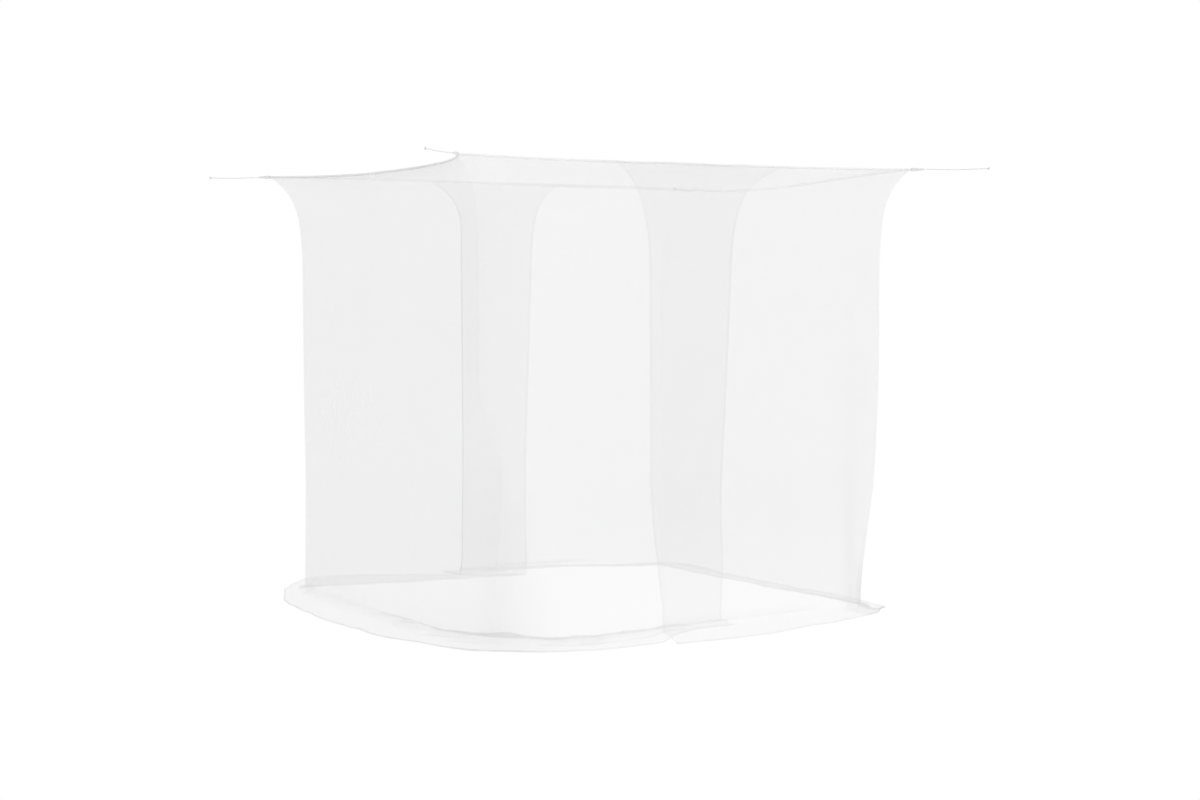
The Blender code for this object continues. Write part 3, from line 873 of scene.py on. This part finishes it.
RIGHT_PANEL = {
    "places": ((FREE_EDGES["outer_front"]["hangs"] + 1) / 2,
               3 - (FREE_EDGES["outer_back"]["hangs"] + 1) / 2),
    "corners": (1, 2), "edges": ("outer_front", "outer_back"), "skirt": RIGHT_SKIRT,
    "outer": True, "seed": 47, "full": 1.05, "heading": 0.3,
    "ridge": (0.2, 0.5), "ridge_from": 0.90,
    "sections": (FLAT_HEM, curl(0.0030, 2.2)),
    "gathers": (
        {"place": 0.935, "width": 0.022, "top": 1.00, "extra": 1.0},
        {"place": 0.985, "width": 0.016, "top": 0.30, "extra": 2.5},
    ),
    "rolls": (),
}


def side_panel(name, panel, material):
    place = panel_columns(panel)
    share = panel_share(panel, place)
    down = np.concatenate([WALL_SHARES, np.ones(len(FLOOR_SHARES))])
    out = np.concatenate([np.zeros(len(WALL_SHARES)), FLOOR_SHARES])
    points, extra = panel_points(panel, place[:, None], share[:, None], down[None], out[None])
    points = turned_edge(points, HEM)
    first, last = panel["sections"]
    points = np.swapaxes(turned_edge(np.swapaxes(points[::-1], 0, 1), first), 0, 1)[::-1]
    points = np.swapaxes(turned_edge(np.swapaxes(points, 0, 1), last), 0, 1)
    points[..., 2] = np.maximum(points[..., 2], LOWEST)
    low, high = panel["corners"]
    between = smooth((place - low) / 0.04 + 0.5) * smooth((high - place) / 0.04 + 0.9)
    spread_out = 1.0 - 0.8 * smooth(out / 0.4)[None]
    fullness = 1.0 + (panel["full"] - 1.0) * between[:, None] * spread_out + extra
    fullness = np.pad(fullness, ((len(first), len(last)), (0, len(HEM))), mode="edge")
    step = np.linalg.norm(np.diff(points, axis=1), axis=-1)
    rows_m = np.concatenate([np.zeros((len(points), 1)), np.cumsum(step, axis=1)], axis=1)
    steps_m = np.full(len(points) - 1, COLUMN_SPACING)
    steps_m[:len(first)] = steps_m[-len(last):] = 0.0015
    columns_m = np.concatenate([[0], np.cumsum(steps_m)])[:, None]
    piece = sheet_piece(name, points, columns_m, rows_m, fullness, material)
    print(name, points.shape[:2], "grid,", 2 * len(piece.data.polygons), "triangles")
    return piece


left = side_panel("left_netting", LEFT_PANEL, left_net)
right = side_panel("right_netting", RIGHT_PANEL, right_net)
for piece, node, slot, flat in ((left, "wall_panel_left", "left_net", (4.83, 2.2)),
                                (right, "wall_panel_right", "right_net", (4.61, 2.2))):
    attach(piece, "root")
    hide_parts(node)

# %% [markdown]
# ## The roof
# The roof is one flat piece of netting that the four cords stretch by its tips, so it sags a little
# in the middle and is drawn into faint ridges that run from each tip.

# %% Roof
ROOF_STATIONS = np.sin(math.pi / 2 * np.linspace(-1, 1, 150))
ROOF_FULLNESS = 1.9              # the roof lets less through than a single wall does
RIDGE_HEIGHT, WAVE_HEIGHT = 0.0022, 0.003


def roof_points():
    across, along = np.meshgrid(ROOF_STATIONS, ROOF_STATIONS, indexing="ij")
    x, y = plan(across, along, 1.0)
    ruffle = 0.0
    for corner in CORNERS.values():
        away_x, away_y = 1 - across * corner["x"], 1 - along * corner["y"]
        angle, far = np.arctan2(away_y, away_x + 1e-6), np.hypot(away_x, away_y)
        ruffle = ruffle + RIDGE_HEIGHT * np.sin(angle * 14 + corner["x"]) * np.exp(-far / 0.30)
    inside = smooth((1 - np.abs(across)) / 0.05) * smooth((1 - np.abs(along)) / 0.05)
    ruffle = ruffle + WAVE_HEIGHT * lattice_noise(x / 0.22, y / 0.3, 5)
    return np.stack([x, y, roof_height(across, along) + ruffle * inside], axis=-1), x, y


points, roof_u, roof_v = roof_points()
roof = sheet_piece("roof_netting", points, roof_u + 1.1, roof_v + 1.1, ROOF_FULLNESS, roof_net)
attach(roof, "root")
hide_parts("roof_panel")
print("roof:", 2 * len(roof.data.polygons), "triangles")

# %% [markdown]
# ## The binding
# A narrow woven tape is folded over the roof's edge and the walls' top edges and sewn through. It
# is a closed band, so it is swept round the roof's outline: at each station the tape's section is
# put square to the edge. The section is a flat loop, and it puckers a little between stitches. The
# tape is sheer too, and darker where more cloth is caught in it.

# %% Binding tape
TAPE_THICKNESS = 0.0022
RIB_PITCH, WARP_PITCH = 0.0012, 0.0008
TAPE_OPEN = 0.93                 # what each face of the sheer tape lets through
TAPE_FULLNESS = (1.3, 1.1, 0.4, 3.6)   # front, right, back, left


def edge_stations(count):
    """Places round the outline, close together by the tips, and each once."""
    run = (np.sin(math.pi / 2 * np.linspace(-1, 1, count)) + 1) / 2
    return np.concatenate([side + run[:-1] for side in range(4)])


def edge_line(place):
    """The roof's edge in space, and the way out from it in plan."""
    across, along = on_outline(place)
    x, y = plan(across, along, 1.0)
    line = np.stack([x, y, roof_height(across, along)], axis=-1)
    ahead = np.roll(line, -1, axis=0) - np.roll(line, 1, axis=0)
    out = np.stack([ahead[:, 1], -ahead[:, 0], 0 * x], axis=-1)
    return line, out / np.linalg.norm(out, axis=-1, keepdims=True)


def band_piece(name, line, out, section, fullness, material):
    """Sweeps a section, given as (outwards, upwards) pairs, along a closed line."""
    up = np.array([0.0, 0.0, 1.0])
    rings = np.stack([line + out * a[..., None] + up * b[..., None] for a, b in section], axis=1)
    rings = np.concatenate([rings, rings[:, :1]], axis=1)
    rings = np.concatenate([rings, rings[:1]], axis=0)
    fullness = np.concatenate([fullness, fullness[:1]])
    step = np.linalg.norm(np.diff(rings[:, 0], axis=0), axis=-1)
    columns_m = np.concatenate([[0], np.cumsum(step)])[:, None]
    across = np.linalg.norm(np.diff(rings[0], axis=0), axis=-1)
    rows_m = np.concatenate([[0], np.cumsum(across)])[None]
    piece = sheet_piece(name, rings, columns_m, rows_m, fullness[:, None], material)
    weld(piece)
    return piece


def weld(piece):
    """Closes the seams of a swept piece and turns its faces outwards."""
    bm = bmesh.new()
    bm.from_mesh(piece.data)
    bmesh.ops.remove_doubles(bm, verts=bm.verts, dist=0.00002)
    bmesh.ops.recalc_face_normals(bm, faces=bm.faces)
    bm.to_mesh(piece.data)
    bm.free()


def ribbed_weave(graph):
    """From 0 between the tape's threads to 1 on them."""
    cloth = graph.add("ShaderNodeUVMap", {"uv_map": "cloth"})
    apart = graph.add("ShaderNodeSeparateXYZ", {}, {0: cloth})
    rib = (apart.out("X") * (math.tau / RIB_PITCH)).math("SINE")
    warp = (apart.out("Y") * (math.tau / WARP_PITCH)).math("SINE")
    return rib * warp * 0.5 + 0.5


def tape_material():
    material, graph, shader = new_material("woven_tape")
    weave = ribbed_weave(graph)
    tone = noise(graph, 30.0)
    fullness = graph.add("ShaderNodeAttribute", {"attribute_name": "fullness"}).out("Fac")
    feed(graph, shader,
         Base_Color=mixed(graph, tone, (0.80, 0.80, 0.80), (0.88, 0.88, 0.88)),
         Roughness=0.65 + weave * 0.2,
         Alpha=1.0 - (TAPE_OPEN - weave * 0.10) ** fullness,
         Normal=bump(graph, weave, 0.4, 0.0004))
    return material


woven_tape = tape_material()
place = edge_stations(220)
line, out = edge_line(place)
pucker = 0.0006 * lattice_noise(place * SIDE_METRES / 0.018, 0.5, 21)
half, thick = BINDING_HEIGHT / 2, TAPE_THICKNESS / 2
SECTION = [(side * thick * a + pucker * (1 - abs(a)), side * half * b + 0 * pucker)
           for side in (1, -1) for a, b in ((1.0, -0.8), (1.0, 0.0), (1.0, 0.8), (0.5, 1.0),
                                            (-0.5, 1.0))]
overlap = np.exp(-(((place - 0.5) / 0.22) ** 4))
full = np.choose(np.floor(place).astype(int), TAPE_FULLNESS)
full = full * (1 + 0.8 * overlap) * (1 + 0.35 * lattice_noise(place * SIDE_METRES / 0.12, 4.5, 22))
line[:, 2] += 0.0016 * lattice_noise(place * SIDE_METRES / 0.14, 2.5, 23) * (0.5 + overlap)
binding = band_piece("roof_edge_tape", line, out, SECTION, full, woven_tape)
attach(binding, "root")
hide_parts("edge_binding")
print("binding:", 2 * len(binding.data.polygons), "triangles")

# %% [markdown]
# ## Corner tabs
# A short end of the same tape is sewn to each tip, folded round the cord and back on itself. Seen
# from above the strip is a long narrow U, and it narrows towards the cord.


# %% Corner tabs
def tab_strip(corner):
    """Grid of the folded strip: along the U, and across its width."""
    tip, pull = tip_and_pull(corner)
    tip = tip - CENTRE
    side = np.array((-pull.y, pull.x, 0.0))
    run = np.linspace(-1, 1, 61)
    bend = 0.0016
    straight = TAB_LENGTH + TAB_START - bend
    turned = np.clip((np.abs(run) - 0.08) / 0.92, 0, 1)
    angle = np.clip(run / 0.08, -1, 1) * math.pi / 2
    far = np.where(np.abs(run) < 0.08, straight + bend * np.cos(angle), straight * (1 - turned))
    aside = bend * np.sin(angle) * (1 - 0.35 * turned)
    spread = np.linspace(-1, 1, 7)
    width = TAB_WIDTH * (0.55 + 0.45 * smooth(turned * 1.4)) / 2
    base = np.array(tip) + np.outer(far - TAB_LAP, np.array(pull)) + np.outer(aside, side)
    lift = np.stack([0 * spread, 0 * spread, spread], axis=-1)
    return base[:, None] + width[:, None, None] * lift[None]


def tab_material():
    material, graph, shader = new_material("tab_tape")
    weave = ribbed_weave(graph)
    feed(graph, shader,
         Base_Color=mixed(graph, noise(graph, 120.0), (0.86, 0.86, 0.86), (0.92, 0.92, 0.92)),
         Roughness=0.65 + weave * 0.2,
         Alpha=0.40 + weave * 0.3,
         Normal=bump(graph, weave, 0.5, 0.0004))
    return material


tab_tape = tab_material()
for corner_name, corner in CORNERS.items():
    points = tab_strip(corner)
    step = np.linalg.norm(np.diff(points[:, 3], axis=0), axis=-1)
    columns_m = np.concatenate([[0], np.cumsum(step)])[:, None]
    rows_m = np.linspace(0, TAB_WIDTH, 7)[None]
    tab = sheet_piece(f"tab_{corner_name}", points, columns_m, rows_m, 1.0, tab_tape)
    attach(tab, "root")
    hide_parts(f"corner_tab_{corner_name}")
print("tabs:", len(CORNERS))

# %% [markdown]
# ## Stitches
# The binding is sewn through with two rows of running stitch. Each stitch is a tiny rod with only a
# few sides, because there are thousands of them. Geometry Nodes walk along the tape's outer face,
# put one rod every few millimetres and turn it along the line, and the result is made one plain
# mesh.


# %% Stitch tree
def stitch_tree():
    graph, given = geometry_graph("running_stitch", ["Pitch", "Length", "Radius"])
    line = graph.add("GeometryNodeResampleCurve", {"mode": "LENGTH"},
                     {"Curve": given.out("Geometry"), "Length": given.out("Pitch")})
    tangent = graph.add("GeometryNodeInputTangent")
    turned = graph.add("FunctionNodeAlignRotationToVector", {"axis": "Z"}, {"Vector": tangent})
    rod = graph.add("GeometryNodeMeshCylinder", {},
                    {"Vertices": 5, "Side Segments": 2, "Radius": given.out("Radius"),
                     "Depth": given.out("Length")})
    placed = graph.add("GeometryNodeInstanceOnPoints", {},
                       {"Points": line, "Instance": rod, "Rotation": turned})
    return finish_graph(graph, placed, given)


def thread_material():
    material, graph, shader = new_material("sewing_thread")
    twist = noise(graph, 1500.0)
    feed(graph, shader,
         Base_Color=mixed(graph, twist, (0.86, 0.86, 0.86), (0.92, 0.92, 0.92)),
         Roughness=0.55 + twist * 0.2,
         Normal=bump(graph, twist, 0.3, 0.0002))
    return material


sewing_thread = thread_material()
running_stitch = stitch_tree()
STITCH = {"Pitch": 0.0060, "Length": 0.0036, "Radius": 0.00015}
STITCH_RISE = 0.0032             # the two rows, above and below the middle of the tape

tape_face = line + np.array(CENTRE) + out * (TAPE_THICKNESS / 2)
rows = [tape_face + np.array([0, 0, rise]) for rise in (-STITCH_RISE, STITCH_RISE)]
stitches = run_tree("binding_stitches", line_object("binding_stitches", rows, cyclic=True),
                    running_stitch, STITCH, sewing_thread)
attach(stitches, "root")
print("binding stitches:", len(stitches.data.polygons), "faces")

# %% [markdown]
# ## Floor, world and light
# The room is a white studio: a pale floor that runs out of sight, a white surround, and two broad
# soft lamps, one overhead and one to the front right, so that folds have a lit and a shaded flank.
# Netting throws hardly any shadow, and a lit floor would show its edge against the surround through
# the cloth, so the floor glows evenly instead. Many layers of netting lie behind one another, so
# light has to be allowed through more of them than Blender's default.

# %% Studio
bpy.context.scene.cycles.transparent_max_bounces = 48
bpy.context.scene.view_settings.view_transform = "Standard"

WHITE = 1.002                    # what the floor and the surround send to the camera
WORLD_LIGHT = 0.56
REACH = 400.0                    # half width of the floor

floor_mesh = bpy.data.meshes.new("studio_floor")
floor_mesh.from_pydata([(-REACH, -REACH, 0), (REACH, -REACH, 0), (REACH, REACH, 0),
                        (-REACH, REACH, 0)], [], [(0, 1, 2, 3)])
floor = bpy.data.objects.new("studio_floor", floor_mesh)
bpy.context.scene.collection.objects.link(floor)
paint, graph, shader = new_material("pale_floor")
feed(graph, shader, Base_Color=(0, 0, 0, 1), Roughness=0.9, Specular_IOR_Level=0.0,
     Emission_Color=(1, 1, 1, 1), Emission_Strength=WHITE)
floor_mesh.materials.append(paint)

world = bpy.data.worlds.new("studio")
world.use_nodes = True
graph = Graph(world.node_tree)
sky = world.node_tree.nodes["Background"]
seen = graph.add("ShaderNodeLightPath").out("Is Camera Ray")
strength = seen * (WHITE - WORLD_LIGHT) + WORLD_LIGHT
graph.tree.links.new(strength.socket, sky.inputs["Strength"])
sky.inputs["Color"].default_value = (1, 1, 1, 1)
bpy.context.scene.world = world

LAMPS = (
    # name        across  along  up   size  watts
    ("window", 5.5, -7.0, 3.2, 4.0, 65.0),
    ("overhead", 0.0, 0.0, 6.0, 5.0, 75.0),
)
for name, across, along, up, size, watts in LAMPS:
    data = bpy.data.lights.new(name, "AREA")
    data.shape, data.size, data.energy = "DISK", size, watts
    lamp = bpy.data.objects.new(name, data)
    lamp.location = (across, along, up)
    lamp.rotation_euler = (Vector((0, 0, 0.9)) - lamp.location).to_track_quat("-Z", "Y").to_euler()
    bpy.context.scene.collection.objects.link(lamp)
print("studio ready")
